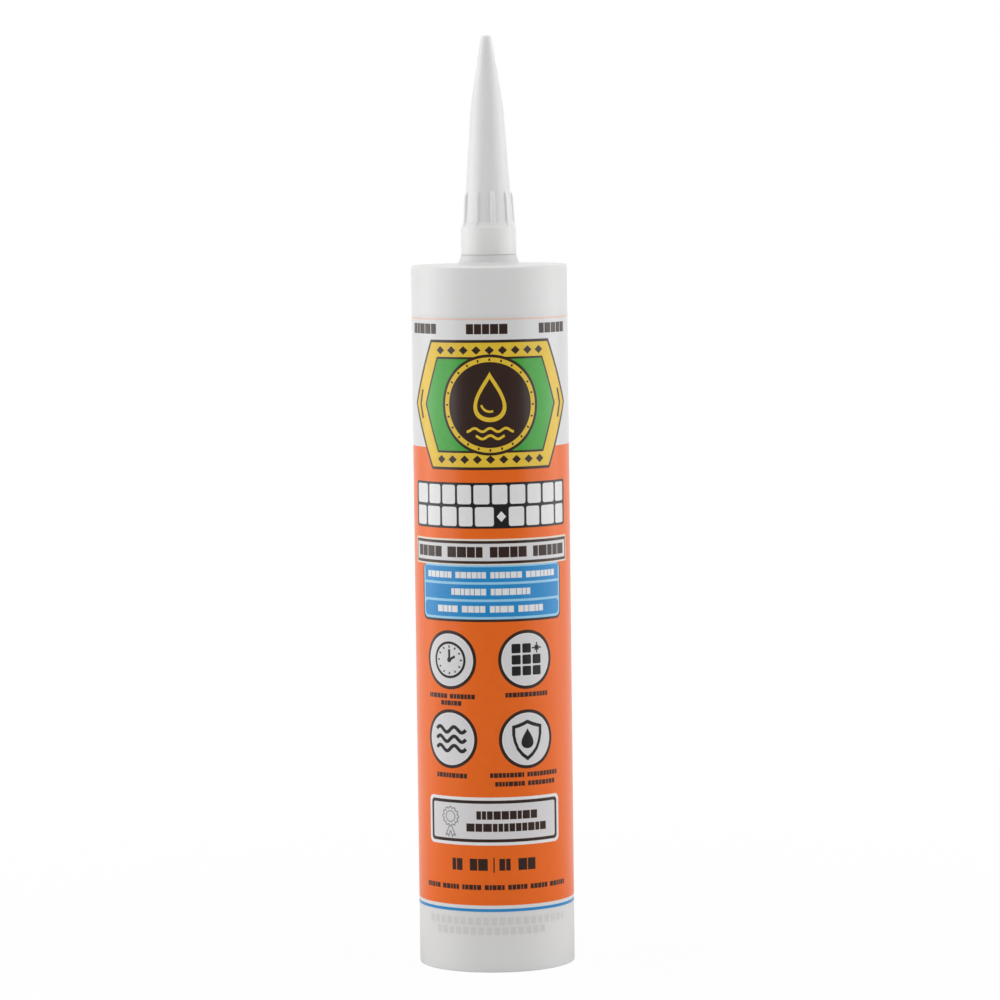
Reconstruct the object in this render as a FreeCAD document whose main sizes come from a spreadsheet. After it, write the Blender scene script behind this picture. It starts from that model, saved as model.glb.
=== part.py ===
import FreeCAD, Part
import os
import Sketcher

# Caulk tube: an open-ended plastic barrel with a threaded neck, a screw-on nozzle with grip fins,
# a push piston behind the sealant, and a printed film wrapped around the barrel.
# Millimetres, +Z up along the tube's axis, z = 0 at the barrel's open rear rim, front facing -Y.

doc = FreeCAD.newDocument("CaulkTube")
os.makedirs("parts", exist_ok=True)

SIZES = [
    ("barrel_radius", 25.0, "outside radius of the barrel"),
    ("barrel_wall", 1.7, "wall of the barrel"),
    ("barrel_length", 225.0, "rear rim to the top of the head"),
    ("head_thickness", 3.5, "thickness of the head plate"),
    ("shoulder_round", 0.8, "rounding between the barrel wall and the head"),
    ("head_root", 1.2, "bevel inside, between the bore and the head"),
    ("rim_lead", 0.6, "chamfer inside the rear rim, which leads the piston in"),
    ("rim_bevel", 0.3, "bevel outside the rear rim"),
    ("boss_radius", 9.25, "raised ring that the nozzle is screwed down on"),
    ("boss_height", 3.2, "height of that ring above the head"),
    ("neck_radius", 6.3, "neck under its thread"),
    ("neck_height", 8.6, "neck above the boss"),
    ("neck_bore_radius", 4.5, "way out through the neck"),
    ("neck_inlet", 1.5, "chamfer that leads into the neck from the barrel"),
    ("seal_base_radius", 4.2, "closed nipple on the neck, at its foot"),
    ("seal_tip_radius", 2.6, "closed nipple, at its tip"),
    ("seal_height", 5.0, "closed nipple above the neck"),
    ("seal_wall", 1.0, "wall of the nipple"),
    ("seat_gap", 0.05, "between the boss and the nozzle's rim"),
    ("collar_radius", 8.8, "nozzle collar"),
    ("collar_height", 9.9, "nozzle collar"),
    ("collar_bevel", 0.35, "bevel on the collar's edges"),
    ("cone_radius_low", 7.8, "nozzle cone on the collar"),
    ("cone_radius_mid", 5.08, "nozzle cone where it starts to narrow faster"),
    ("cone_radius_tip", 1.5, "nozzle cone at the closed tip"),
    ("cone_mid_height", 47.4, "height of the break in the cone above the rim"),
    ("nozzle_length", 69.9, "rim to tip"),
    ("tip_bevel", 0.6, "bevel on the closed tip"),
    ("socket_radius", 7.4, "nozzle socket under its thread"),
    ("socket_depth", 8.9, "depth of the socket"),
    ("cone_wall", 1.2, "wall of the cone below the break"),
    ("tip_bore_radius", 0.9, "inside radius at the closed tip"),
    ("tip_thickness", 2.2, "plastic that closes the tip"),
    ("fin_count", 9, "grip fins around the foot of the cone"),
    ("fin_thickness", 1.3, "thickness of a grip fin"),
    ("fin_root_radius", 6.95, "fin foot, inside the wall of the cone"),
    ("fin_radius_low", 8.45, "fin on the collar"),
    ("fin_radius_high", 7.95, "fin where its edge bends inwards"),
    ("fin_bend_height", 18.0, "height of that bend above the rim"),
    ("fin_height", 21.3, "top of the fins above the rim"),
    ("fin_turn", -79.0, "heading of the fin that stands nearest the front"),
    ("piston_clearance", 0.06, "running clearance between the piston's lips and the bore"),
    ("lip_relief", 0.75, "how far the skirt stands back from the lips"),
    ("lip_height", 2.4, "height of a sealing lip"),
    ("lip_slope", 1.4, "height of the slope from a lip to the skirt"),
    ("piston_height", 24.0, "rear rim to front face of the piston"),
    ("piston_chamfer", 1.6, "chamfer at the front face"),
    ("skirt_wall", 1.25, "wall of the piston's skirt"),
    ("face_wall", 1.8, "wall of the piston's front"),
    ("hub_radius", 6.0, "ring in the middle of the piston's back"),
    ("hub_wall", 1.2, "wall of that ring"),
    ("rib_count", 6, "ribs across the piston's back"),
    ("rib_thickness", 1.2, "thickness of a rib"),
    ("rib_height", 3.8, "height of the ribs and of the middle ring"),
    ("rib_overlap", 0.3, "how far a rib's ends reach into the walls"),
    ("piston_start", 22.2, "rear rim of the piston above the barrel's rim, in a full tube"),
    ("fill_gap", 0.1, "between the sealant and the plastic around it"),
    ("label_start", 19.2, "lower edge of the film above the barrel's rim"),
    ("label_height", 190.2, "height of the film"),
    ("film", 0.1, "thickness of the film"),
    ("film_lap", 24.0, "angle by which the film laps over itself at the back"),
]

sheet = doc.addObject("Spreadsheet::Sheet", "sizes")
for row, (alias, number, note) in enumerate(SIZES, start=1):
    sheet.set(f"A{row}", note)
    sheet.set(f"B{row}", str(number))
    sheet.setAlias(f"B{row}", alias)
doc.recompute()


def value(text):
    """Add up a sum of named sizes, such as 'a + b - c'."""
    total = 0.0
    sign = 1
    for word in text.split():
        if word in "+-":
            sign = 1 if word == "+" else -1
        else:
            total += sign * getattr(sheet, word)
    return total


def formula(text):
    """Write the same sum as an expression on the sheet."""
    return " ".join(word if word in "+-" else "sizes." + word for word in text.split())


def new_body(label):
    body = doc.addObject("PartDesign::Body", label)
    body.Label = label
    return body


def origin_part(body, role):
    """Find one of the planes or axes of the body's own origin."""
    return next(item for item in body.Origin.OriginFeatures if item.Role == role)


def outline(body, name, plane, corners):
    """Draw a closed outline on a plane of the body's origin.

    Each corner is a pair of sums of named sizes, across and up. An empty text keeps the corner
    on the axis.
    """
    sketch = body.newObject("Sketcher::SketchObject", name)
    sketch.AttachmentSupport = [(origin_part(body, plane), "")]
    sketch.MapMode = "FlatFace"
    points = [FreeCAD.Vector(value(across), value(up), 0) for across, up in corners]
    for start, end in zip(points, points[1:] + points[:1]):
        sketch.addGeometry(Part.LineSegment(start, end), False)
    last = len(corners) - 1
    for number in range(len(corners)):
        before = last if number == 0 else number - 1
        sketch.addConstraint(Sketcher.Constraint("Coincident", before, 2, number, 1))
    for number, (across, up) in enumerate(corners):
        for kind, text, axis in (("DistanceX", across, -2), ("DistanceY", up, -1)):
            if text:
                place = sketch.addConstraint(Sketcher.Constraint(kind, -1, 1, number, 1, value(text)))
                sketch.setExpression(f"Constraints[{place}]", formula(text))
            else:
                sketch.addConstraint(Sketcher.Constraint("PointOnObject", number, 1, axis))
    doc.recompute()
    return sketch


def turned(body, name, sketch, angle=""):
    """Turn the outline about the body's Z axis, all the way round or by a named angle."""
    feature = body.newObject("PartDesign::Revolution", name)
    feature.Profile = sketch
    feature.ReferenceAxis = (sketch, ["V_Axis"])
    feature.Angle = 360
    if angle:
        feature.setExpression("Angle", formula(angle))
    sketch.Visibility = False
    doc.recompute()
    return feature


def edged(body, name, kind, base, size, rims):
    """Fillet or chamfer the circular edges at the given radii and heights."""
    wanted = [(value(across), value(up)) for across, up in rims]
    names = []
    for number, edge in enumerate(base.Shape.Edges, start=1):
        curve = edge.Curve
        if not isinstance(curve, Part.Circle):
            continue
        for across, up in wanted:
            if abs(curve.Radius - across) < 1e-4 and abs(curve.Center.z - up) < 1e-4:
                names.append(f"Edge{number}")
    feature = body.newObject("PartDesign::" + kind, name)
    feature.Base = (base, names)
    feature.setExpression("Radius" if kind == "Fillet" else "Size", formula(size))
    doc.recompute()
    return feature


def repeated(body, name, outline_name, thickness, count, corners):
    """Stand a thin plate across the XZ plane and repeat it evenly about the Z axis."""
    sketch = outline(body, outline_name, "XZ_Plane", corners)
    plate = body.newObject("PartDesign::Pad", name)
    plate.Profile = sketch
    plate.Midplane = True
    plate.Length = value(thickness)
    plate.setExpression("Length", formula(thickness))
    sketch.Visibility = False
    doc.recompute()
    pattern = body.newObject("PartDesign::PolarPattern", name + "_ring")
    pattern.Originals = [plate]
    pattern.Axis = (origin_part(body, "Z_Axis"), [""])
    pattern.Angle = 360
    pattern.Occurrences = int(value(count))
    pattern.setExpression("Occurrences", formula(count))
    body.Tip = pattern
    doc.recompute()
    return pattern


# Barrel: one moulding with the head, the boss and the neck. Its rear end is open, and a closed
# nipple, which the user pierces, ends the neck.
barrel = new_body("barrel")
bore = "barrel_radius - barrel_wall"
neck_top = "barrel_length + boss_height + neck_height"
barrel_outline = outline(barrel, "barrel_outline", "XZ_Plane", [
    ("barrel_radius - rim_bevel", ""),
    ("barrel_radius", "rim_bevel"),
    ("barrel_radius", "barrel_length"),
    ("boss_radius", "barrel_length"),
    ("boss_radius", "barrel_length + boss_height"),
    ("neck_radius", "barrel_length + boss_height"),
    ("neck_radius", neck_top),
    ("seal_base_radius", neck_top),
    ("seal_tip_radius", neck_top + " + seal_height"),
    ("", neck_top + " + seal_height"),
    ("", neck_top + " + seal_height - seal_wall"),
    ("seal_tip_radius - seal_wall", neck_top + " + seal_height - seal_wall"),
    ("seal_base_radius - seal_wall", neck_top + " - seal_wall"),
    ("neck_bore_radius", neck_top + " - seal_wall - seal_wall"),
    ("neck_bore_radius", "barrel_length - head_thickness + neck_inlet"),
    ("neck_bore_radius + neck_inlet", "barrel_length - head_thickness"),
    (bore + " - head_root", "barrel_length - head_thickness"),
    (bore, "barrel_length - head_thickness - head_root"),
    (bore, "rim_lead"),
    (bore + " + rim_lead", ""),
])
barrel_turned = turned(barrel, "barrel_turned", barrel_outline)
edged(barrel, "barrel_shoulder", "Fillet", barrel_turned, "shoulder_round", [
    ("barrel_radius", "barrel_length"),
])

# Nozzle: a hollow cone in two slopes with a closed tip, on a plain collar with a threaded socket.
# Thin upright fins above the collar give the fingers a hold.
nozzle = new_body("nozzle")
nozzle_outline = outline(nozzle, "nozzle_outline", "XZ_Plane", [
    ("collar_radius", ""),
    ("collar_radius", "collar_height"),
    ("cone_radius_low", "collar_height"),
    ("cone_radius_mid", "cone_mid_height"),
    ("cone_radius_tip", "nozzle_length"),
    ("", "nozzle_length"),
    ("", "nozzle_length - tip_thickness"),
    ("tip_bore_radius", "nozzle_length - tip_thickness"),
    ("cone_radius_mid - cone_wall", "cone_mid_height"),
    ("cone_radius_low - cone_wall", "socket_depth + cone_wall"),
    ("socket_radius", "socket_depth"),
    ("socket_radius", ""),
])
nozzle_turned = turned(nozzle, "nozzle_turned", nozzle_outline)
nozzle_edges = edged(nozzle, "nozzle_edges", "Chamfer", nozzle_turned, "collar_bevel", [
    ("collar_radius", ""),
    ("collar_radius", "collar_height"),
])
edged(nozzle, "nozzle_tip", "Chamfer", nozzle_edges, "tip_bevel", [
    ("cone_radius_tip", "nozzle_length"),
])
repeated(nozzle, "grip_fin", "fin_outline", "fin_thickness", "fin_count", [
    ("fin_root_radius", "collar_height - collar_bevel"),
    ("fin_radius_low", "collar_height - collar_bevel"),
    ("fin_radius_high", "fin_bend_height"),
    ("fin_root_radius", "fin_height"),
])
nozzle.Placement.Rotation = FreeCAD.Rotation(FreeCAD.Vector(0, 0, 1), value("fin_turn"))
nozzle.setExpression("Placement.Base.z", formula("barrel_length + boss_height + seat_gap"))

# Piston: a cup, open to the rear, with a sealing lip at each end of its skirt. Ribs and a middle
# ring behind the front wall take the thrust of the gun's push plate.
piston = new_body("piston")
lip = bore + " - piston_clearance"
skirt = lip + " - lip_relief"
back = "piston_height - face_wall"
rib_rear = back + " - rib_height"
piston_outline = outline(piston, "piston_outline", "XZ_Plane", [
    (lip, ""),
    (lip, "lip_height"),
    (skirt, "lip_height + lip_slope"),
    (skirt, "piston_height - piston_chamfer - lip_height - lip_slope"),
    (lip, "piston_height - piston_chamfer - lip_height"),
    (lip, "piston_height - piston_chamfer"),
    (lip + " - piston_chamfer", "piston_height"),
    ("", "piston_height"),
    ("", back),
    ("hub_radius - hub_wall", back),
    ("hub_radius - hub_wall", rib_rear),
    ("hub_radius", rib_rear),
    ("hub_radius", back),
    (skirt + " - skirt_wall", back),
    (skirt + " - skirt_wall", ""),
])
turned(piston, "piston_turned", piston_outline)
repeated(piston, "thrust_rib", "rib_outline", "rib_thickness", "rib_count", [
    ("hub_radius - rib_overlap", rib_rear),
    (skirt + " - skirt_wall + rib_overlap", rib_rear),
    (skirt + " - skirt_wall + rib_overlap", back + " + rib_overlap"),
    ("hub_radius - rib_overlap", back + " + rib_overlap"),
])
piston.setExpression("Placement.Base.z", formula("piston_start"))

# Sealant: the paste that fills the barrel from the piston to the head, and the neck above it.
sealant = new_body("sealant")
sealant_start = "piston_start + piston_height + fill_gap"
paste_top = "barrel_length - head_thickness - fill_gap - " + sealant_start.replace("+", "-")
neck_end = "barrel_length + boss_height + neck_height - seal_wall - seal_wall - fill_gap - "
neck_end += sealant_start.replace("+", "-")
sealant_outline = outline(sealant, "sealant_outline", "XZ_Plane", [
    ("", ""),
    (bore + " - fill_gap", ""),
    (bore + " - fill_gap", paste_top + " - head_root"),
    (bore + " - fill_gap - head_root", paste_top),
    ("neck_bore_radius - fill_gap", paste_top),
    ("neck_bore_radius - fill_gap", neck_end),
    ("", neck_end),
])
turned(sealant, "sealant_turned", sealant_outline)
sealant.setExpression("Placement.Base.z", formula(sealant_start))

# Label: a printed film once around the barrel, with its end lapped over its start at the back.
label = new_body("label")
film_outline = outline(label, "film_outline", "XZ_Plane", [
    ("barrel_radius", ""),
    ("barrel_radius + film", ""),
    ("barrel_radius + film", "label_height"),
    ("barrel_radius", "label_height"),
])
turned(label, "film_turned", film_outline)
lap_outline = outline(label, "lap_outline", "YZ_Plane", [
    ("barrel_radius + film", ""),
    ("barrel_radius + film + film", ""),
    ("barrel_radius + film + film", "label_height"),
    ("barrel_radius + film", "label_height"),
])
turned(label, "lap_turned", lap_outline, "film_lap")
label.setExpression("Placement.Base.z", formula("label_start"))

doc.recompute()

for item in doc.Objects:
    if "Invalid" in item.State or "Error" in item.State:
        raise RuntimeError(f"{item.Label} has state {item.State}")

for body in (barrel, nozzle, piston, sealant, label):
    shape = body.Shape
    if shape.isNull() or not shape.isValid() or len(shape.Solids) != 1:
        raise RuntimeError(f"{body.Label} is not one valid solid")
    print(body.Label, round(shape.Volume / 1000, 2), "mL", shape.BoundBox)
    shape.exportStep(f"parts/{body.Label}.step")
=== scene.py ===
import bmesh
import bpy
import numpy as np
from mathutils import Matrix


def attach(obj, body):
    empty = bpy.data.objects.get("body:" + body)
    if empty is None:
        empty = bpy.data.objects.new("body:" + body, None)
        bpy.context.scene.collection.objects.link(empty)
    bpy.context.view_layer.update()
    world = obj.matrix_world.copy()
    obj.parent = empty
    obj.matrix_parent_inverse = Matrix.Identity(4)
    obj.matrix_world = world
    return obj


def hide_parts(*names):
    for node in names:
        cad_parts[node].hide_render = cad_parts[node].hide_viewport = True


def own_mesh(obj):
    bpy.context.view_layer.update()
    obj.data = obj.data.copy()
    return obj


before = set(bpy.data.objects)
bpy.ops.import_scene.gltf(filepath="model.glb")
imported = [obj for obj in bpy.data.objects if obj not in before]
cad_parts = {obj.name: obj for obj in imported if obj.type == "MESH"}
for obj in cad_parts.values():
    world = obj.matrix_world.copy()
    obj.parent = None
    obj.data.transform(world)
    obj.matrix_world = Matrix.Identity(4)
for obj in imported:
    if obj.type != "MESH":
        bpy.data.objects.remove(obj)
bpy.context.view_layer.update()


# Barrel: one injection moulding in white polyethylene, with the head, the screw neck and a closed
# nipple on top and an open rear end. The 1.7 mm wall has a soft gloss and faint lines along its
# length, where the core of the mould was drawn out.
MM = 0.001


def rounded_outline(corners, closed=False, steps=6):
    """Points (radius, height) in mm along an outline with filleted corners.

    A corner is (radius, height, fillet). Its arc touches both sides at fillet / tan(half the
    corner's angle) from the corner, and a point 0.1 mm further along each side keeps the
    shading of the straight runs even.
    """
    places = np.array([corner[:2] for corner in corners], float)
    points = []
    for number, (place, fillet) in enumerate(zip(places, [corner[2] for corner in corners])):
        if fillet == 0 or (not closed and number in (0, len(corners) - 1)):
            points.append(place[None])
            continue
        to_last = places[number - 1] - place
        to_next = places[(number + 1) % len(places)] - place
        to_last /= np.linalg.norm(to_last)
        to_next /= np.linalg.norm(to_next)
        half = np.arccos(np.clip(to_last @ to_next, -1, 1)) / 2
        middle = (to_last + to_next) / np.linalg.norm(to_last + to_next)
        centre = place + middle * fillet / np.sin(half)
        reach = fillet / np.tan(half)
        start, end = place + to_last * reach - centre, place + to_next * reach - centre
        first = np.arctan2(start[1], start[0])
        sweep = (np.arctan2(end[1], end[0]) - first + np.pi) % (2 * np.pi) - np.pi
        angles = first + sweep * np.linspace(0, 1, steps + 1)
        arc = centre + fillet * np.stack([np.cos(angles), np.sin(angles)], axis=1)
        points += [(arc[0] + to_last * 0.1)[None], arc, (arc[-1] + to_next * 0.1)[None]]
    return np.vstack(points)


def grid_piece(name, points, closed_rows=False, closed_columns=False):
    """Object over a grid of points in mm, indexed by row, column and axis.

    A closed direction joins its last line to its first. Points that fall together, as at a
    pole, are welded.
    """
    rows, columns = points.shape[:2]
    index = np.arange(rows * columns).reshape(rows, columns)
    if closed_rows:
        index = np.vstack([index, index[:1]])
    if closed_columns:
        index = np.hstack([index, index[:, :1]])
    faces = np.stack([index[:-1, :-1], index[1:, :-1], index[1:, 1:], index[:-1, 1:]], axis=-1)
    mesh = bpy.data.meshes.new(name)
    mesh.from_pydata((points.reshape(-1, 3) * MM).tolist(), [], faces.reshape(-1, 4).tolist())
    welded = bmesh.new()
    welded.from_mesh(mesh)
    bmesh.ops.remove_doubles(welded, verts=welded.verts, dist=1e-7)
    welded.to_mesh(mesh)
    welded.free()
    mesh.polygons.foreach_set("use_smooth", np.ones(len(mesh.polygons), bool))
    piece = bpy.data.objects.new(name, mesh)
    bpy.context.scene.collection.objects.link(piece)
    return piece


def turned_points(outline, angles):
    """Points (r cos a, r sin a, h) of an outline (r, h) at the angles a about Z."""
    radius, height = outline[:, :1], outline[:, 1:]
    across = radius * np.cos(angles), radius * np.sin(angles)
    return np.stack([*across, height + 0 * angles], axis=-1)


def full_turn(count):
    """Angles that go once round in equal steps, without the closing one."""
    return np.arange(count) * 2 * np.pi / count


class Wire:
    """An output of a shader node. Arithmetic on wires adds Math nodes to the same paint."""

    def __init__(self, paint, socket):
        self.paint = paint
        self.socket = socket

    def __add__(self, other):
        return self.paint.maths("ADD", self, other)

    def __sub__(self, other):
        return self.paint.maths("SUBTRACT", self, other)

    def __rsub__(self, other):
        return self.paint.maths("SUBTRACT", other, self)

    def __mul__(self, other):
        return self.paint.maths("MULTIPLY", self, other)

    __radd__ = __add__
    __rmul__ = __mul__


class Paint:
    """A material that is built node by node around one Principled shader."""

    def __init__(self, name):
        self.material = bpy.data.materials.new(name)
        self.material.use_nodes = True
        self.tree = self.material.node_tree
        self.shader = self.tree.nodes["Principled BSDF"]

    def node(self, kind, settings=None, inputs=None, output=0):
        """Add a node: first its settings, then the values or wires of its sockets."""
        made = self.tree.nodes.new(kind)
        for setting, value in (settings or {}).items():
            setattr(made, setting, value)
        self.fill(made, inputs or {})
        return Wire(self, made.outputs[output])

    def fill(self, made, inputs):
        for socket, value in inputs.items():
            if isinstance(value, Wire):
                self.tree.links.new(value.socket, made.inputs[socket])
            else:
                made.inputs[socket].default_value = value

    def maths(self, operation, *values):
        return self.node("ShaderNodeMath", {"operation": operation}, dict(enumerate(values)))

    def place(self, stretch=(1, 1, 1)):
        """The piece's own coordinates in metres, stretched along each axis."""
        own = self.node("ShaderNodeTexCoord", output="Object")
        return self.node("ShaderNodeMapping", {}, {"Vector": own, "Scale": stretch})

    def noise(self, scale, detail=2.0, stretch=(1, 1, 1)):
        """Noise from 0 to 1 with scale cycles to a metre."""
        inputs = {"Vector": self.place(stretch), "Scale": scale, "Detail": detail}
        return self.node("ShaderNodeTexNoise", {}, inputs)

    def between(self, share, first, second):
        """Colour that goes from the first to the second as share goes from 0 to 1."""
        inputs = {"Factor": share, "A": (*first, 1), "B": (*second, 1)}
        return self.node("ShaderNodeMix", {"data_type": "RGBA"}, inputs, output="Result")

    def bumped(self, height, depth, under=None):
        """Normal of a surface that rises by depth metres as height goes from 0 to 1."""
        inputs = {"Height": height, "Distance": depth, "Strength": 1.0}
        if under:
            inputs["Normal"] = under
        return self.node("ShaderNodeBump", {}, inputs)

    def finished(self, inputs):
        self.fill(self.shader, inputs)
        return self.material


def step_over(paint, value, start, end):
    """0 below start, 1 above end and a smooth rise between them."""
    settings = {"interpolation_type": "SMOOTHSTEP"}
    return paint.node("ShaderNodeMapRange", settings, {"Value": value, 1: start, 2: end})


def moulded_plastic(name, gloss, through):
    """Polyethylene but for its colour: fine draw lines and grain, and a soft, uneven gloss."""
    paint = Paint(name)
    lines = paint.noise(900.0, 2.0, (1.0, 1.0, 0.02))
    grain = paint.noise(2600.0, 2.0)
    smear = paint.noise(70.0, 4.0, (1.0, 1.0, 0.35))
    skin = paint.bumped(lines, 0.000010)
    skin = paint.bumped(grain, 0.000006, skin)
    return paint, {
        "Roughness": smear * 0.12 + (gloss - 0.06),
        "Normal": skin,
        "Subsurface Weight": through,
        "Subsurface Radius": (1.0, 0.95, 0.9),
        "Subsurface Scale": 0.0025,
        "IOR": 1.52,
    }


def clouded(paint, shade, dark_shade):
    """Colour that drifts by a hair every few centimetres."""
    return paint.between(paint.noise(30.0, 3.0), dark_shade, shade)


BARREL_RADIUS = 25.0
BORE_RADIUS = 23.3
HEAD_TOP = 225.0
HEAD_UNDERSIDE = 221.5
BOSS_TOP = 228.2
NECK_RADIUS = 6.3
NECK_BORE = 4.5
NECK_TOP = 236.8
NIPPLE_TOP = 241.8

barrel_corners = [
    (0, NIPPLE_TOP, 0), (2.6, NIPPLE_TOP, 0.8), (4.2, NECK_TOP, 0.3),
    (NECK_RADIUS, NECK_TOP, 0.45), (NECK_RADIUS, BOSS_TOP, 0.35), (8.85, BOSS_TOP, 0.15),
    (9.9, HEAD_TOP, 1.8), (BARREL_RADIUS, HEAD_TOP, 0.8), (BARREL_RADIUS, 0, 0.3),
    (23.9, 0, 0.12), (BORE_RADIUS, 0.6, 0.3), (BORE_RADIUS, 220.3, 0.5),
    (22.1, HEAD_UNDERSIDE, 0.5), (6.0, HEAD_UNDERSIDE, 0.4), (NECK_BORE, 223.0, 0.4),
    (NECK_BORE, 234.8, 0.3), (3.2, 235.8, 0.3), (1.6, 240.8, 0.4), (0, 240.8, 0),
]
barrel = grid_piece(
    "barrel_moulding", turned_points(rounded_outline(barrel_corners), full_turn(240)),
    closed_columns=True)
barrel_paint, barrel_finish = moulded_plastic("barrel_plastic", gloss=0.36, through=0.25)
barrel_finish["Base Color"] = clouded(barrel_paint, (0.80, 0.80, 0.795), (0.765, 0.765, 0.76))
barrel.data.materials.append(barrel_paint.finished(barrel_finish))
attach(barrel, "barrel")
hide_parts("barrel")


# Neck thread: a single-start right-hand ridge, moulded on the neck below the nipple. It fades out
# at both ends, as such threads do where the two halves of the mould close.
THREAD_PITCH = 2.4
THREAD_FOOT = 1.1
THREAD_LAND = 0.4


def eased(share):
    """Share from 0 to 1 with a level start and end: 3 s^2 - 2 s^3."""
    return share * share * (3 - 2 * share)


def thread_points(radius, crest, turns, start):
    """Ridge along the helix (r cos a, r sin a, start + pitch a / 2 pi), a trapezium in section.

    Its foot and land are the widths at the root and at the crest, and its height rises from
    nothing and falls back to nothing over the first and last third of a turn.
    """
    angles = np.linspace(0, 2 * np.pi * turns, int(turns * 64))[:, None]
    fade = eased(np.clip(np.minimum(angles, angles[-1] - angles) / (2 * np.pi / 3), 0, 1))
    rise = np.array([-0.12, 0.0, 0.85, 1.0, 1.0, 0.85, 0.0, -0.12]) * (crest - radius)
    width = np.array([-0.5, -0.5, -0.32, -0.22, 0.22, 0.32, 0.5, 0.5])
    width = width * np.where(np.abs(width) < 0.3, THREAD_LAND / 0.44, THREAD_FOOT)
    out = radius + rise * np.where(rise * (crest - radius) < 0, 1, fade)
    up = start + THREAD_PITCH * angles / (2 * np.pi) + width * (0.05 + 0.95 * fade)
    return np.stack([out * np.cos(angles), out * np.sin(angles), up], axis=-1)


def capped(points):
    """The same tube with its two ends drawn together, so that it is closed."""
    ends = [np.repeat(points[k].mean(axis=0)[None, None], points.shape[1], axis=1) for k in (0, -1)]
    return np.concatenate([ends[0], points, ends[1]])


neck_thread = grid_piece(
    "neck_thread", capped(thread_points(NECK_RADIUS, 7.0, turns=2.4, start=229.7)),
    closed_columns=True)
neck_thread.data.materials.append(barrel.data.materials[0])
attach(neck_thread, "barrel")


# Nozzle: one injection moulding in white polyethylene. A plain collar that screws on the neck, nine
# upright fins for the fingers and a hollow cone in two slopes, whose closed tip the user cuts off.
NOZZLE_SEAT = 228.25
NOZZLE_LENGTH = 69.9
SOCKET_RADIUS = 7.4
FIN_COUNT = 9
FIN_HEADING = np.radians(-79.0)
FIN_HALF_WIDTH = 0.78
FIN_FLANK = 0.35
FIN_FOOT, FIN_END = 9.0, 20.6

nozzle_corners = [
    (0, NOZZLE_LENGTH, 0), (1.6, NOZZLE_LENGTH, 0.8), (5.2, 47.3, 22.0), (7.85, 10.4, 0.3),
    (8.85, 8.7, 0.5), (8.9, 0, 0.15), (SOCKET_RADIUS, 0, 0.15), (SOCKET_RADIUS, 8.9, 0.3),
    (6.6, 10.1, 0.5), (3.88, 47.4, 10.0), (0.9, 67.7, 0.4), (0, 67.7, 0),
]
fin_edge = np.array([(9.9, 8.45), (17.9, 8.0), (18.9, 7.85), (19.7, 7.5), (FIN_END, 6.9)])


def filled_in(outline, low, high, gap):
    """The outline with extra points every gap mm on its outer run between two heights."""
    radius, height = outline.T
    outer = np.flatnonzero((height[:-1] > height[1:]) & (radius[:-1] < radius[1:] + 1e-9))
    run = max(outer, key=lambda k: min(height[k], high) - max(height[k + 1], low))
    places = np.arange(min(height[run], high) - gap, max(height[run + 1], low), -gap)
    share = (height[run] - places) / (height[run] - height[run + 1])
    added = outline[run] + share[:, None] * (outline[run + 1] - outline[run])
    return np.vstack([outline[: run + 1], added, outline[run + 1 :]])


def fin_rise(points):
    """Push the cone out to the fins' edge line where a fin stands.

    The edge line gives a radius at each height above the nozzle's seat: it rises from the
    collar and bends in to the cone at its top. Across a fin the share of the push is 1, and
    it falls smoothly to 0 on each flank. Only the outer wall is pushed.
    """
    radius = np.hypot(points[..., 0], points[..., 1])
    height = points[..., 2] - NOZZLE_SEAT
    turn = np.arctan2(points[..., 1], points[..., 0]) - FIN_HEADING
    spacing = 2 * np.pi / FIN_COUNT
    off = np.abs((turn + spacing / 2) % spacing - spacing / 2) * np.maximum(radius, 1e-6)
    flank = eased(np.clip((FIN_HALF_WIDTH - off) / FIN_FLANK, 0, 1))
    edge = np.interp(height, *fin_edge.T)
    outer = np.arange(len(points))[:, None] <= np.argmin(height[:, 0])
    on_cone = outer & (height > FIN_FOOT) & (height < FIN_END)
    push = np.where(on_cone, np.clip(edge - radius, 0, None) * flank, 0)
    grow = 1 + push / np.maximum(radius, 1e-6)
    return points * np.stack([grow, grow, np.ones_like(grow)], axis=-1)


nozzle_outline = filled_in(
    rounded_outline(nozzle_corners, steps=7), low=10.5, high=21.5, gap=0.33)
nozzle_outline[:, 1] += NOZZLE_SEAT
nozzle_points = fin_rise(turned_points(nozzle_outline, full_turn(720)))
nozzle = grid_piece("nozzle_moulding", nozzle_points, closed_columns=True)
nozzle_paint, nozzle_finish = moulded_plastic("nozzle_plastic", gloss=0.34, through=0.35)
# Painted light: both shades are painted lighter than the barrel's plastic, for the light that
# scatters through the nozzle's thin translucent wall, and the collar is painted lighter and warmer
# again than the hollow cone, for the neck behind its wall.
height = nozzle_paint.node("ShaderNodeSeparateXYZ", {}, {0: nozzle_paint.place()}, "Z")
painted_collar_light = step_over(nozzle_paint, height, 0.2395, 0.2360)
nozzle_finish["Base Color"] = nozzle_paint.between(
    painted_collar_light, (0.84, 0.84, 0.845), (0.88, 0.88, 0.865))
nozzle.data.materials.append(nozzle_paint.finished(nozzle_finish))
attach(nozzle, "nozzle")
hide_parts("nozzle")

socket_thread = grid_piece(
    "socket_thread",
    capped(thread_points(SOCKET_RADIUS, 6.7, turns=1.9, start=231.55))[:, ::-1],
    closed_columns=True)
socket_thread.data.materials.append(nozzle.data.materials[0])
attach(socket_thread, "nozzle")


# Piston: a polyethylene cup pushed in behind the sealant. A lip at each end of its skirt wipes the
# bore, and six ribs and a middle ring on its back take the thrust of the gun's plate.
PISTON_SEAT = 22.2

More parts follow.
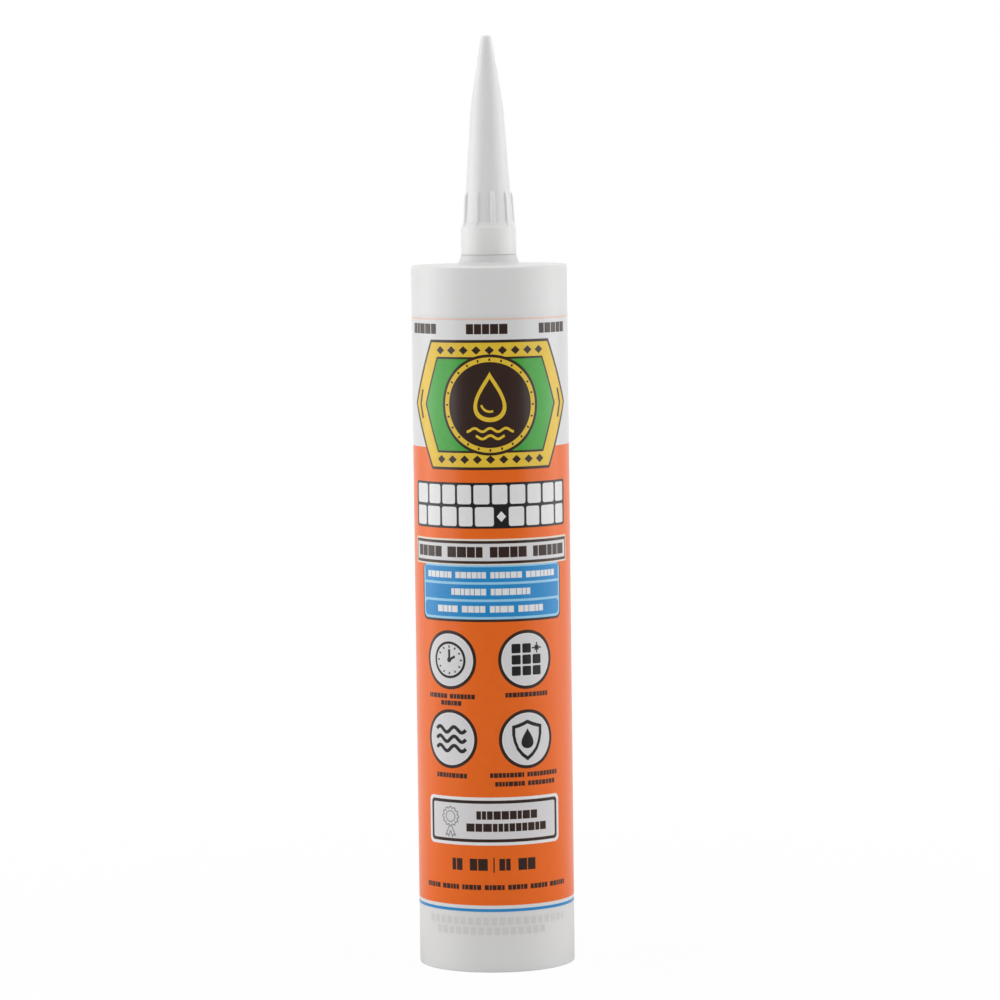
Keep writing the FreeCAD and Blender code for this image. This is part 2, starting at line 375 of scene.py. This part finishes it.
piston_corners = [
    (0, 24.0, 0), (21.64, 24.0, 0.4), (23.24, 22.4, 0.35), (23.24, 20.0, 0.3),
    (22.49, 18.6, 0.6), (22.49, 3.8, 0.6), (23.24, 2.4, 0.3), (23.24, 0, 0.3), (21.24, 0, 0.4),
    (21.24, 22.2, 0.8), (6.0, 22.2, 0.4), (6.0, 18.4, 0.3), (4.8, 18.4, 0.3), (4.8, 22.2, 0.4),
    (0, 22.2, 0),
]
piston_outline = rounded_outline(piston_corners)
piston_outline[:, 1] += PISTON_SEAT
piston = grid_piece(
    "piston_cup", turned_points(piston_outline, full_turn(180)), closed_columns=True)


def rib_points(heading, inner, outer, low, high, thickness):
    """Upright plate along a heading: a rectangle with a rounded lower edge, carried outwards."""
    half = thickness / 2
    bend = np.linspace(-np.pi / 2, np.pi / 2, 9)
    across = np.concatenate([[-half], half * np.sin(bend), [half]])
    up = np.concatenate([[high], low + half - half * np.cos(bend), [high]])
    along = np.linspace(inner, outer, 8)[:, None]
    x = along * np.cos(heading) - across * np.sin(heading)
    y = along * np.sin(heading) + across * np.cos(heading)
    return np.stack([x, y, up + 0 * along], axis=-1)


piston_paint, piston_finish = moulded_plastic("piston_plastic", gloss=0.48, through=0.2)
piston_finish["Base Color"] = clouded(piston_paint, (0.77, 0.77, 0.75), (0.72, 0.72, 0.70))
piston_material = piston_paint.finished(piston_finish)
piston.data.materials.append(piston_material)
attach(piston, "piston")
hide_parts("piston")
for number in range(6):
    points = rib_points(
        number * np.pi / 3, inner=5.4, outer=21.6, low=PISTON_SEAT + 18.4,
        high=PISTON_SEAT + 22.4, thickness=1.2)
    rib = grid_piece(f"piston_rib_{number + 1}", capped(points)[:, ::-1], closed_columns=True)
    rib.data.materials.append(piston_material)
    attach(rib, "piston")


# Sealant: smooth white paste that fills the barrel from the piston to the head. The plug of paste
# in the neck stays where it is.
PASTE_LOW, PASTE_HIGH = 46.3, 221.4

paste_paint = Paint("sealant_paste")
paste_soft = paste_paint.noise(120.0, 3.0)
paste_material = paste_paint.finished({
    "Base Color": paste_paint.between(paste_soft, (0.80, 0.80, 0.78), (0.84, 0.84, 0.83)),
    "Roughness": paste_soft * 0.1 + 0.25,
    "Normal": paste_paint.bumped(paste_soft, 0.00008),
    "Subsurface Weight": 0.3,
    "Subsurface Scale": 0.002,
})
paste_corners = [
    (0, PASTE_HIGH, 0), (22.0, PASTE_HIGH, 0.3), (23.2, 220.2, 0.3), (23.2, PASTE_LOW, 0.3),
    (0, PASTE_LOW, 0),
]
paste = grid_piece(
    "sealant_fill", turned_points(rounded_outline(paste_corners), full_turn(120)),
    closed_columns=True)
paste.data.materials.append(paste_material)
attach(paste, "barrel")
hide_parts("sealant")
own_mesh(paste)

plug_corners = [(0, 234.7, 0), (4.4, 234.7, 0.3), (4.4, 221.45, 0.1), (0, 221.45, 0)]
plug = grid_piece(
    "sealant_in_neck", turned_points(rounded_outline(plug_corners), full_turn(60)),
    closed_columns=True)
plug.data.materials.append(paste_material)
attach(plug, "barrel")


# Label: a white polypropylene film with a gloss varnish, wrapped once around the barrel. Its end
# laps over its start at the back.
FILM_LOW, FILM_HIGH = 19.2, 209.4
FILM_RADIUS = 25.03


def film_paint(name, shade, dark_shade):
    """Varnished film or ink: even colour with a slight mottle under a clear, faintly wavy coat."""
    paint = Paint(name)
    mottle = paint.noise(500.0, 3.0)
    wave = paint.noise(45.0, 0.0, (1.0, 1.0, 0.5))
    rub = paint.noise(40.0, 4.0)
    return paint.finished({
        "Base Color": paint.between(mottle, dark_shade, shade),
        "Roughness": rub * 0.10 + 0.25,
        "Normal": paint.bumped(wave, 0.00005),
        "IOR": 1.5,
    })


def film_outline(inner, outer):
    """Rectangle in section with its long sides along the barrel, from the top outwards."""
    return np.array([(inner, FILM_HIGH), (outer - 0.01, FILM_HIGH), (outer, FILM_HIGH - 0.02),
                     (outer, FILM_HIGH - 0.15), (outer, FILM_LOW + 0.15),
                     (outer, FILM_LOW + 0.02), (outer - 0.01, FILM_LOW), (inner, FILM_LOW)])


film = grid_piece(
    "label_film", turned_points(film_outline(BARREL_RADIUS, FILM_RADIUS), full_turn(360)),
    closed_rows=True, closed_columns=True)
film_white = film_paint("film_white", (0.755, 0.755, 0.755), (0.73, 0.73, 0.73))
film.data.materials.append(film_white)
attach(film, "barrel")
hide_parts("label")

LAP_RADIUS = 25.11
LAP_START, LAP_END = np.radians(90.0), np.radians(114.0)
LAP_CLIMB = np.radians(2.5)


def lap_radius(angles):
    """Outer radius of the lap: it climbs smoothly from the film's level at the lap's start."""
    climb = eased(np.clip((angles - LAP_START) / LAP_CLIMB, 0, 1))
    return FILM_RADIUS + (LAP_RADIUS - FILM_RADIUS) * climb


# The section's inner side stands at -1 and its outer side at 1, which tells them apart.
lap_angles = np.linspace(LAP_START, LAP_END, 97)
section = film_outline(-1.0, 1.0)
lap_out = np.where(
    section[:, :1] > 0, lap_radius(lap_angles) + section[:, :1] - 1.0, BARREL_RADIUS)
lap_points = np.stack([lap_out * np.cos(lap_angles), lap_out * np.sin(lap_angles),
                       section[:, 1:] + 0 * lap_angles], axis=-1)
lap = grid_piece("label_lap", capped(lap_points.transpose(1, 0, 2)[::-1]), closed_columns=True)
lap.data.materials.append(film_white)
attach(lap, "barrel")


# Print: flat inks laid one over another on the film. Colour bands go all the way round, and the
# front has a six-sided plate with a coin, white tiles, a blue panel, four round signs, a box with a
# rosette, and rows of plain blocks.
INKS = {
    "orange": ((0.90, 0.150, 0.001), (0.86, 0.135, 0.001)),
    "apricot": ((0.80, 0.60, 0.50), (0.77, 0.57, 0.47)),
    "cream": ((0.84, 0.74, 0.62), (0.80, 0.70, 0.58)),
    "white": ((0.83, 0.83, 0.83), (0.79, 0.79, 0.80)),
    "pale": ((0.74, 0.73, 0.74), (0.69, 0.68, 0.70)),
    "grey": ((0.34, 0.34, 0.34), (0.28, 0.28, 0.28)),
    "brown": ((0.050, 0.024, 0.016), (0.032, 0.016, 0.012)),
    "black": ((0.022, 0.019, 0.019), (0.014, 0.013, 0.013)),
    "gold": ((0.86, 0.60, 0.040), (0.78, 0.50, 0.028)),
    "green": ((0.070, 0.44, 0.060), (0.050, 0.36, 0.042)),
    "blue": ((0.012, 0.28, 0.64), (0.009, 0.24, 0.58)),
    "dot": ((0.71, 0.71, 0.69), (0.64, 0.64, 0.62)),
    "sky": ((0.34, 0.66, 0.88), (0.30, 0.60, 0.84)),
}
INK_NAMES = list(INKS)
INK_LIFT = 0.004
INK_FOOT = FILM_RADIUS + INK_LIFT
INK_STEP = 0.0075
INK_GRID = 0.45
PRINT_RADIUS = 25.08
FRONT = -np.pi / 2

patches = []


def ink(colour, level, first, second, foot=INK_FOOT):
    """Lay ink between two curves of (arc, height) points in mm from the front's middle line.

    The patch is the ruled surface first + s (second - first), with s from 0 to 1, wrapped on
    a cylinder: the angle is the arc over the radius, and each level lies 0.0075 mm higher.
    """
    cuts = max(1, int(np.ceil(np.abs(second - first)[:, 0].max() / INK_GRID)))
    share = np.linspace(0, 1, cuts + 1)[None, :, None]
    flat = first[:, None] + share * (second - first)[:, None]
    right, up = flat[1:, 0] - flat[:-1, 0], flat[:-1, -1] - flat[:-1, 0]
    if (right[:, 0] * up[:, 1] - right[:, 1] * up[:, 0]).sum() < 0:
        flat = flat[:, ::-1]
    radius = foot + INK_STEP * level
    angles = FRONT + flat[..., 0] / PRINT_RADIUS
    wrapped = np.stack([radius * np.cos(angles), radius * np.sin(angles), flat[..., 1]], axis=-1)
    patches.append((wrapped, INK_NAMES.index(colour)))


def curve(*points, gap=INK_GRID):
    """Straight runs through the points, with a point at least every gap mm."""
    points = np.array(points, float)
    runs = [points[:1]]
    for start, end in zip(points, points[1:]):
        count = max(1, int(np.ceil(np.linalg.norm(end - start) / gap)))
        runs.append(start + (end - start) * np.arange(1, count + 1)[:, None] / count)
    return np.vstack(runs)


def rays(turn):
    """Unit vectors (cos t, sin t) at the angles t."""
    return np.stack([np.cos(turn), np.sin(turn)], axis=-1)


def arc_points(middle, radius, start, end, count):
    """Points of a circle's arc: middle + radius (cos t, sin t)."""
    return np.array(middle, float) + radius * rays(np.linspace(start, end, count + 1))


def ink_block(colour, level, left, right, low, high, corner=0.0, foot=INK_FOOT):
    """Rectangle with quarter-circle corners, filled from its lower line to its upper line."""
    turn = np.linspace(0, np.pi / 2, 9 if corner else 1)
    inset = corner * (1 - np.cos(turn))
    lift = corner * (1 - np.sin(turn))
    count = max(2, int(np.ceil((right - left - 2 * corner) / INK_GRID)) + 1)
    straight = np.linspace(left + corner, right - corner, count)[1:-1]
    across = np.concatenate([left + inset, straight, right - inset[::-1]])
    rise = np.concatenate([lift, 0 * straight, lift[::-1]])
    lower = np.stack([across, low + rise], axis=1)
    upper = np.stack([across, high - rise], axis=1)
    ink(colour, level, lower, upper, foot=foot)


def ink_disc(colour, level, middle, radius):
    """Disc, filled between its lower and its upper half circle."""
    count = 2 * int(np.ceil(radius / INK_GRID)) + 24
    lower = arc_points(middle, radius, np.pi, 2 * np.pi, count)
    upper = arc_points(middle, radius, np.pi, 0, count)
    ink(colour, level, lower, upper)


def ink_ring(colour, level, middle, outer, inner):
    """Ring, filled between its outer and its inner circle."""
    count = int(np.ceil(outer * 2 * np.pi / INK_GRID)) + 24
    ink(colour, level, arc_points(middle, outer, 0, 2 * np.pi, count),
        arc_points(middle, inner, 0, 2 * np.pi, count))


def ink_line(colour, level, points, width):
    """Line of even width: the curve moved half the width to each side along its normal."""
    ahead = np.gradient(points, axis=0)
    ahead /= np.linalg.norm(ahead, axis=1)[:, None]
    side = np.stack([-ahead[:, 1], ahead[:, 0]], axis=1) * width / 2
    ink(colour, level, points - side, points + side)


def ink_hexagon(colour, level, middle, half_width, shoulder, half_height):
    """Plate with a flat top and foot and a point at each side."""
    arc, height = middle
    lower = curve((arc - half_width, height), (arc - shoulder, height - half_height),
                  (arc + shoulder, height - half_height), (arc + half_width, height))
    upper = lower * (1, -1) + (0, 2 * height)
    ink(colour, level, lower, upper)


def ink_drop(colour, level, middle, size):
    """Falling drop: at height size cos t it is 0.92 size sin t sin(t / 2)^1.4 wide to each side."""
    turn = np.linspace(0, np.pi, 49)
    half = 0.92 * size * np.sin(turn) * np.sin(turn / 2) ** 1.4
    height = middle[1] + size * np.cos(turn)
    left = np.stack([middle[0] - half, height], axis=1)
    right = np.stack([middle[0] + half, height], axis=1)
    ink(colour, level, left, right)


draw = np.random.default_rng(7)


def ink_row(colour, level, left, right, low, high, groups=1, gap=0.28):
    """Row of upright blocks of uneven width, in groups that are set apart."""
    height = high - low
    bounds = np.linspace(left, right, groups + 1)
    for start, end in zip(bounds, bounds[1:]):
        end -= 0.6 * height if groups > 1 and end < right else 0
        count = max(2, int(round((end - start) / (0.85 * height))))
        edges = start + (end - start) * np.cumsum([0, *draw.uniform(0.7, 1.3, count)])
        edges = start + (edges - start) * (end - start) / (edges[-1] - start)
        for one, two in zip(edges, edges[1:]):
            ink_block(colour, level, one, max(two - gap, one + 0.25), low, high)


# Bands that go all the way round, and five short rows above the orange.
BANDS = (("orange", 21.6, 167.6), ("blue", 19.55, 20.5), ("apricot", 208.15, 208.75))
half_way = np.pi * PRINT_RADIUS
for colour, low, high in BANDS:
    ink_block(colour, 0, -half_way, half_way, low, high)
for number in range(-2, 3):
    middle = -0.8 + 24.45 * number
    ink_row("brown", 1, middle - 6.8, middle + 6.8, 203.7, 206.9)

# Plate at the head of the front: green behind a brown coin with a drop over water.
PLATE = np.array([-0.2, 181.3])
for colour, level, inset in (
        ("brown", 1, 0.0), ("gold", 2, 0.9), ("brown", 3, 5.4), ("green", 4, 6.1)):
    ink_hexagon(colour, level, PLATE, 30.6 - 1.2 * inset, 21.0 - 0.5 * inset, 20.6 - inset)
for across in np.linspace(-16.8, 16.8, 9):
    for up in (-17.3, 17.3):
        lozenge = curve((across - 1.5, up), (across, up - 1.35), (across + 1.5, up))
        ink("brown", 3, PLATE + lozenge, PLATE + (lozenge - (0, up)) * (1, -1) + (0, up))
for side in (-1, 1):
    arrow = curve((side * 25.6, 4.6), (side * 27.0, 0), (side * 25.6, -4.6))
    ink_line("brown", 3, PLATE + arrow, 0.9)
ink_disc("brown", 5, PLATE, 16.0)
ink_ring("gold", 6, PLATE, 15.1, 13.6)
for ray in rays(full_turn(24)):
    ink_line("brown", 7, curve(PLATE + 13.95 * ray, PLATE + 14.75 * ray), 0.55)
ink_drop("gold", 6, PLATE + (0, 2.6), 8.0)
ink_drop("brown", 7, PLATE + (0, 2.2), 6.2)
ink_line("gold", 8, arc_points(PLATE + (0, 0.7), 2.8, np.pi * 1.08, np.pi * 1.62, 24), 0.7)
for half, up in ((7.6, -7.9), (4.6, -10.2)):
    swing = np.linspace(-half, half, 49)
    wave = np.stack([swing, up + 0.55 * np.cos(swing * 2 * np.pi / 5.0)], axis=1)
    ink_line("gold", 6, PLATE + wave, 0.8)

# Two courses of white tiles on a black ground, with a lozenge in the lower one.
LOZENGE = 4.0
ink_block("black", 1, -31.0, 29.1, 142.1, 156.7, 1.0)
for low, high, widths in (
        (149.85, 155.95, (7.0, 5.9, 5.6, 5.5, 5.9, 5.7, 6.0, 5.8, 5.8, 5.3)),
        (142.85, 148.95, (6.1, 6.6, 6.3, 5.4, 6.8, LOZENGE, 5.9, 5.6, 6.5, 5.3))):
    edges = -30.3 + 58.7 * np.cumsum([0, *widths]) / sum(widths)
    for one, two, width in zip(edges, edges[1:], widths):
        if width == LOZENGE:
            waist = curve((one + 0.5, 145.9), ((one + two) / 2, 144.2), (two - 0.5, 145.9))
            ink("white", 2, waist, waist * (1, -1) + (0, 2 * 145.9))
            continue
        ink_block("white", 2, one + 0.4, two - 0.4, low, high, 0.7)

# Strip under the tiles.
ink_block("cream", 1, -31.9, 30.2, 130.4, 138.8, 0.4)
ink_block("brown", 2, -31.4, 29.7, 130.9, 138.2, 0.3)
ink_block("pale", 3, -30.8, 29.1, 131.8, 137.3, 0.2)
ink_row("brown", 4, -29.6, 28.0, 132.9, 136.3, groups=4)

# Blue panel with three rows.
ink_block("brown", 1, -27.0, 25.7, 112.4, 130.5, 2.4)
ink_block("sky", 2, -26.5, 25.2, 113.2, 130.5, 2.0)
ink_block("blue", 3, -25.8, 24.5, 125.1, 129.9, 0.2)
ink_block("blue", 3, -25.8, 24.5, 119.6, 124.3, 0.2)
ink_block("blue", 3, -25.8, 24.5, 114.0, 118.8, 1.4)
ink_row("white", 4, -24.0, 22.6, 126.3, 128.3, groups=4, gap=0.22)
ink_row("white", 4, -13.9, 12.6, 120.9, 123.0, groups=2, gap=0.22)
ink_row("white", 4, -19.4, 17.4, 115.4, 117.5, groups=4, gap=0.22)

# Four round signs: a dial, tiles, waves, and a shield with a drop.
SIGNS = {"dial": (-15.05, 100.05), "tiles": (10.85, 100.15),
         "waves": (-15.0, 74.75), "shield": (10.8, 74.7)}
for middle in SIGNS.values():
    ink_disc("brown", 1, middle, 9.45)
    ink_disc("white", 2, middle, 8.4)
    ink_disc("pale", 3, middle, 8.1)

middle = np.array(SIGNS["dial"])
ink_ring("black", 4, middle, 5.9, 5.1)
for ray in rays(full_turn(12)):
    ink_line("black", 4, curve(middle + 3.9 * ray, middle + 4.6 * ray), 0.5)
ink_line("black", 5, curve(middle, middle + (0, 3.4), gap=0.5), 0.8)
ink_line("black", 5, curve(middle, middle + (2.1, 1.2), gap=0.5), 0.8)
ink_disc("black", 5, middle, 0.8)

middle = np.array(SIGNS["tiles"])
for across in (-3.6, 0.0, 3.6):
    for up in (-3.6, 0.0, 3.6):
        if (across, up) == (3.6, 3.6):
            continue
        left, low = middle + (across - 1.5, up - 1.5)
        ink_block("black", 4, left, left + 3.0, low, low + 3.0, 0.4)
star = middle + (3.6, 3.6)
for level, reach, ray in zip((4, 4, 5, 5), (1.7, 1.0, 1.7, 1.0), rays(full_turn(8))):
    ink_line("black", level, curve(star - reach * ray, star + reach * ray), 0.45)

middle = np.array(SIGNS["waves"])
swing = np.linspace(-5.6, 5.6, 40)
for up in (-3.0, 0.0, 3.0):
    wave = np.stack([swing, up + 0.9 * np.sin(swing * 2 * np.pi / 5.6)], axis=1)
    ink_line("black", 4, middle + wave, 1.15)

middle = np.array(SIGNS["shield"])
side = np.array([(0, 5.6), (1.6, 4.9), (3.1, 4.4), (4.7, 4.0), (4.7, 1.4), (4.2, -0.9),
                 (3.3, -3.1), (1.8, -4.9), (0, -6.3)], float)
shield = curve(*side, *(side[-2::-1] * (-1, 1)))
ink("black", 4, middle + 1.1 * shield, middle + 0.88 * shield)
ink_drop("black", 5, middle + (0, 0.2), 3.2)

# Short rows under the signs.
for left, right, low in ((-24.0, -6.0, 87.7), (-18.6, -10.6, 85.5), (3.6, 18.8, 88.2),
                         (-20.8, -9.0, 62.3), (-1.6, 22.8, 62.6), (0.0, 21.6, 59.8)):
    ink_row("brown", 1, left, right, low, low + 1.5, groups=2 if right - left > 16 else 1, gap=0.2)

# White box with a rosette and two rows.
ink_block("white", 1, -24.6, 23.3, 40.9, 56.3, 1.8)
ink_block("brown", 2, -23.6, 22.3, 41.9, 55.3, 1.3)
ink_block("pale", 3, -22.6, 21.3, 42.9, 54.3, 0.7)
rosette = np.array([-15.4, 49.9])
turn = np.linspace(0, 2 * np.pi, 97)
scallop = (2.9 + 0.28 * np.cos(12 * turn))[:, None] * rays(turn)
ink_line("grey", 4, rosette + scallop, 0.42)
ink_ring("grey", 4, rosette, 1.9, 1.55)
for side in (-1, 1):
    ribbon = rosette + np.array([(side * 0.4, -2.9), (side * 1.9, -6.2), (side * 1.1, -5.7),
                                 (side * 0.7, -6.6), (side * 0.1, -4.6)])
    ink_line("grey", 5, curve(*ribbon, gap=0.3), 0.4)
ink_row("brown", 4, -6.2, 14.2, 49.2, 51.9)
ink_row("brown", 4, -9.6, 17.6, 45.3, 47.9)

# Two rows at the foot of the front.
ink_row("brown", 1, -14.8, -2.4, 32.8, 36.6, groups=2, gap=0.3)
ink_block("brown", 1, -0.9, -0.5, 32.2, 37.0)
ink_row("brown", 1, 1.0, 13.4, 32.8, 36.6, groups=2, gap=0.3)
ink_row("brown", 1, -26.4, 26.4, 26.6, 28.2, groups=7, gap=0.2)

# Two faint rows of ink-jet dots on the bare plastic below the label: five columns, two left out.
for low, left, right in ((15.3, -25.0, 25.4), (12.2, -21.5, 17.0)):
    columns = np.arange(left, right, 0.37)
    for dot in columns[np.arange(columns.size) % 7 < 5]:
        for height in low + 0.4 * np.arange(6):
            ink_block("dot", 0, dot, dot + 0.3, height, height + 0.32,
                      foot=BARREL_RADIUS + 0.006)

# The lap carries the same bands over its start, up to its cut edge.
arcs = (lap_angles[:-1] - FRONT) * PRINT_RADIUS
lifted = lap_radius(FRONT + arcs / PRINT_RADIUS)
for colour, low, high in BANDS:
    ink(colour, 1, np.stack([arcs, 0 * arcs + low], axis=1),
        np.stack([arcs, 0 * arcs + high], axis=1), foot=lifted[:, None] + INK_LIFT)


def print_piece(name):
    """One mesh from all the patches, with a material for each ink and normals straight out."""
    starts = np.cumsum([0, *(patch.shape[0] * patch.shape[1] for patch, _ in patches)])
    faces, shades = [], []
    for (patch, shade), start in zip(patches, starts):
        index = start + np.arange(patch.shape[0] * patch.shape[1]).reshape(patch.shape[:2])
        quads = np.stack([index[:-1, :-1], index[1:, :-1], index[1:, 1:], index[:-1, 1:]], axis=-1)
        faces.append(quads.reshape(-1, 4))
        shades.append(np.full(len(faces[-1]), shade))
    points = np.vstack([patch.reshape(-1, 3) for patch, _ in patches])
    mesh = bpy.data.meshes.new(name)
    mesh.from_pydata((points * MM).tolist(), [], np.vstack(faces).tolist())
    for colour, shade in INKS.items():
        mesh.materials.append(film_paint("ink_" + colour, *shade))
    mesh.polygons.foreach_set("material_index", np.concatenate(shades))
    mesh.polygons.foreach_set("use_smooth", np.ones(len(mesh.polygons), bool))
    outward = points * (1, 1, 0)
    outward /= np.linalg.norm(outward, axis=1)[:, None]
    mesh.normals_split_custom_set_from_vertices(outward.tolist())
    piece = bpy.data.objects.new(name, mesh)
    bpy.context.scene.collection.objects.link(piece)
    return piece


label_print = print_piece("label_print")
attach(label_print, "barrel")


# Floor and surroundings: a white table in a white room, with a soft box at each side and one above.
# The camera sees room and table white, and the table keeps the tube's soft shadow. The gloss sees
# them white behind the tube and dark in front of it.
TABLE_REACH = 12.0
TABLE_DROP = 1e-4

table_corners = [(across * TABLE_REACH, along * TABLE_REACH, -TABLE_DROP)
                 for across, along in ((-1, -1), (1, -1), (1, 1), (-1, 1))]
floor_mesh = bpy.data.meshes.new("floor")
floor_mesh.from_pydata(table_corners, [], [(0, 1, 2, 3)])
floor = bpy.data.objects.new("floor", floor_mesh)
bpy.context.scene.collection.objects.link(floor)
floor_paint = Paint("white_table")
seen = floor_paint.node("ShaderNodeLightPath", output="Is Camera Ray")
mirrored = floor_paint.node("ShaderNodeLightPath", output="Is Glossy Ray")
through = floor_paint.node("ShaderNodeLightPath", output="Is Transmission Ray")
white = floor_paint.node("ShaderNodeEmission", {}, {"Color": (1, 1, 1, 1), "Strength": 1.0})
place = floor_paint.node("ShaderNodeNewGeometry", output="Position")
away = floor_paint.node("ShaderNodeVectorMath", {"operation": "LENGTH"}, {0: place}, "Value")
depth = floor_paint.node("ShaderNodeSeparateXYZ", {}, {0: place}, "Y")
behind = step_over(floor_paint, depth, -0.1, 0.3)
floor_paint.finished({
    "Base Color": floor_paint.between(
        mirrored * (1 - behind), (0.95, 0.95, 0.95), (0.15, 0.15, 0.15)),
    "Roughness": 0.9,
    "Specular IOR Level": 0.0,
})
beyond_shadow = step_over(floor_paint, away, 0.06, 0.5) * 0.05 + 0.95
white_share = (seen + (mirrored + through) * behind) * beyond_shadow
table_mix = floor_paint.node("ShaderNodeMixShader", {}, {
    0: white_share, 1: Wire(floor_paint, floor_paint.shader.outputs[0]), 2: white})
floor_paint.fill(floor_paint.tree.nodes["Material Output"], {"Surface": table_mix})
floor.data.materials.append(floor_paint.material)

ROOM_LEVEL = 0.39
FRONT_LEVEL = 0.08

world = bpy.data.worlds.new("white_room")
world.use_nodes = True
bpy.context.scene.world = world


class RoomPaint(Paint):
    """The same node-making method on the world's tree."""

    def __init__(self, owner):
        self.tree = owner.node_tree
        self.shader = self.tree.nodes["Background"]


room = RoomPaint(world)
heading = room.node("ShaderNodeTexCoord", output="Generated")
depth = room.node("ShaderNodeSeparateXYZ", {}, {0: heading}, output="Y")
rear = step_over(room, depth, -0.35, 0.2)
seen = room.node("ShaderNodeLightPath", output="Is Camera Ray")
mirrored = room.node("ShaderNodeLightPath", output="Is Glossy Ray")
through = room.node("ShaderNodeLightPath", output="Is Transmission Ray")
change = rear * (1 - FRONT_LEVEL) + (FRONT_LEVEL - ROOM_LEVEL)
level = seen + (mirrored + through) * change + ROOM_LEVEL
room.fill(room.shader, {
    "Color": (1, 1, 1, 1), "Strength": room.maths("MINIMUM", level, 1.0)})


def soft_box(name, place, aim, size, watts):
    """Rectangular lamp at place that faces aim."""
    lamp = bpy.data.lights.new(name, "AREA")
    lamp.shape = "RECTANGLE"
    lamp.size, lamp.size_y = size
    lamp.energy = watts
    holder = bpy.data.objects.new(name, lamp)
    ahead = np.array(aim, float) - place
    ahead /= np.linalg.norm(ahead)
    side = np.cross(ahead, (0, 0, 1))
    side /= np.linalg.norm(side)
    turn = Matrix(np.stack([side, np.cross(side, ahead), -ahead], axis=1).tolist())
    holder.matrix_world = Matrix.Translation(place) @ turn.to_4x4()
    bpy.context.scene.collection.objects.link(holder)


soft_box("left_box", (-1.0, -0.12, 0.32), (0, 0, 0.15), (1.3, 0.6), 4.7)
soft_box("right_box", (1.0, -0.12, 0.32), (0, 0, 0.15), (1.3, 0.6), 4.1)
soft_box("top_box", (0.0, 0.05, 1.25), (0, 0.04, 0.15), (1.1, 1.1), 6.3)


# Camera: a long lens a metre and a half in front of the tube and a little above its head, tipped
# down and rolled by a few degrees.
TIP, ROLL = 4.44, 0.71

lens = bpy.data.cameras.new("camera")
lens.sensor_width = 36.0
lens.lens = 168.9
lens.clip_end = 60.0
camera = bpy.data.objects.new("camera", lens)
camera.matrix_world = (
    Matrix.Translation((0.00263, -1.505, 0.2661))
    @ Matrix.Rotation(np.radians(90 - TIP), 4, "X")
    @ Matrix.Rotation(np.radians(-ROLL), 4, "Z"))
bpy.context.scene.collection.objects.link(camera)
bpy.context.scene.camera = camera
bpy.context.scene.view_settings.view_transform = "Standard"
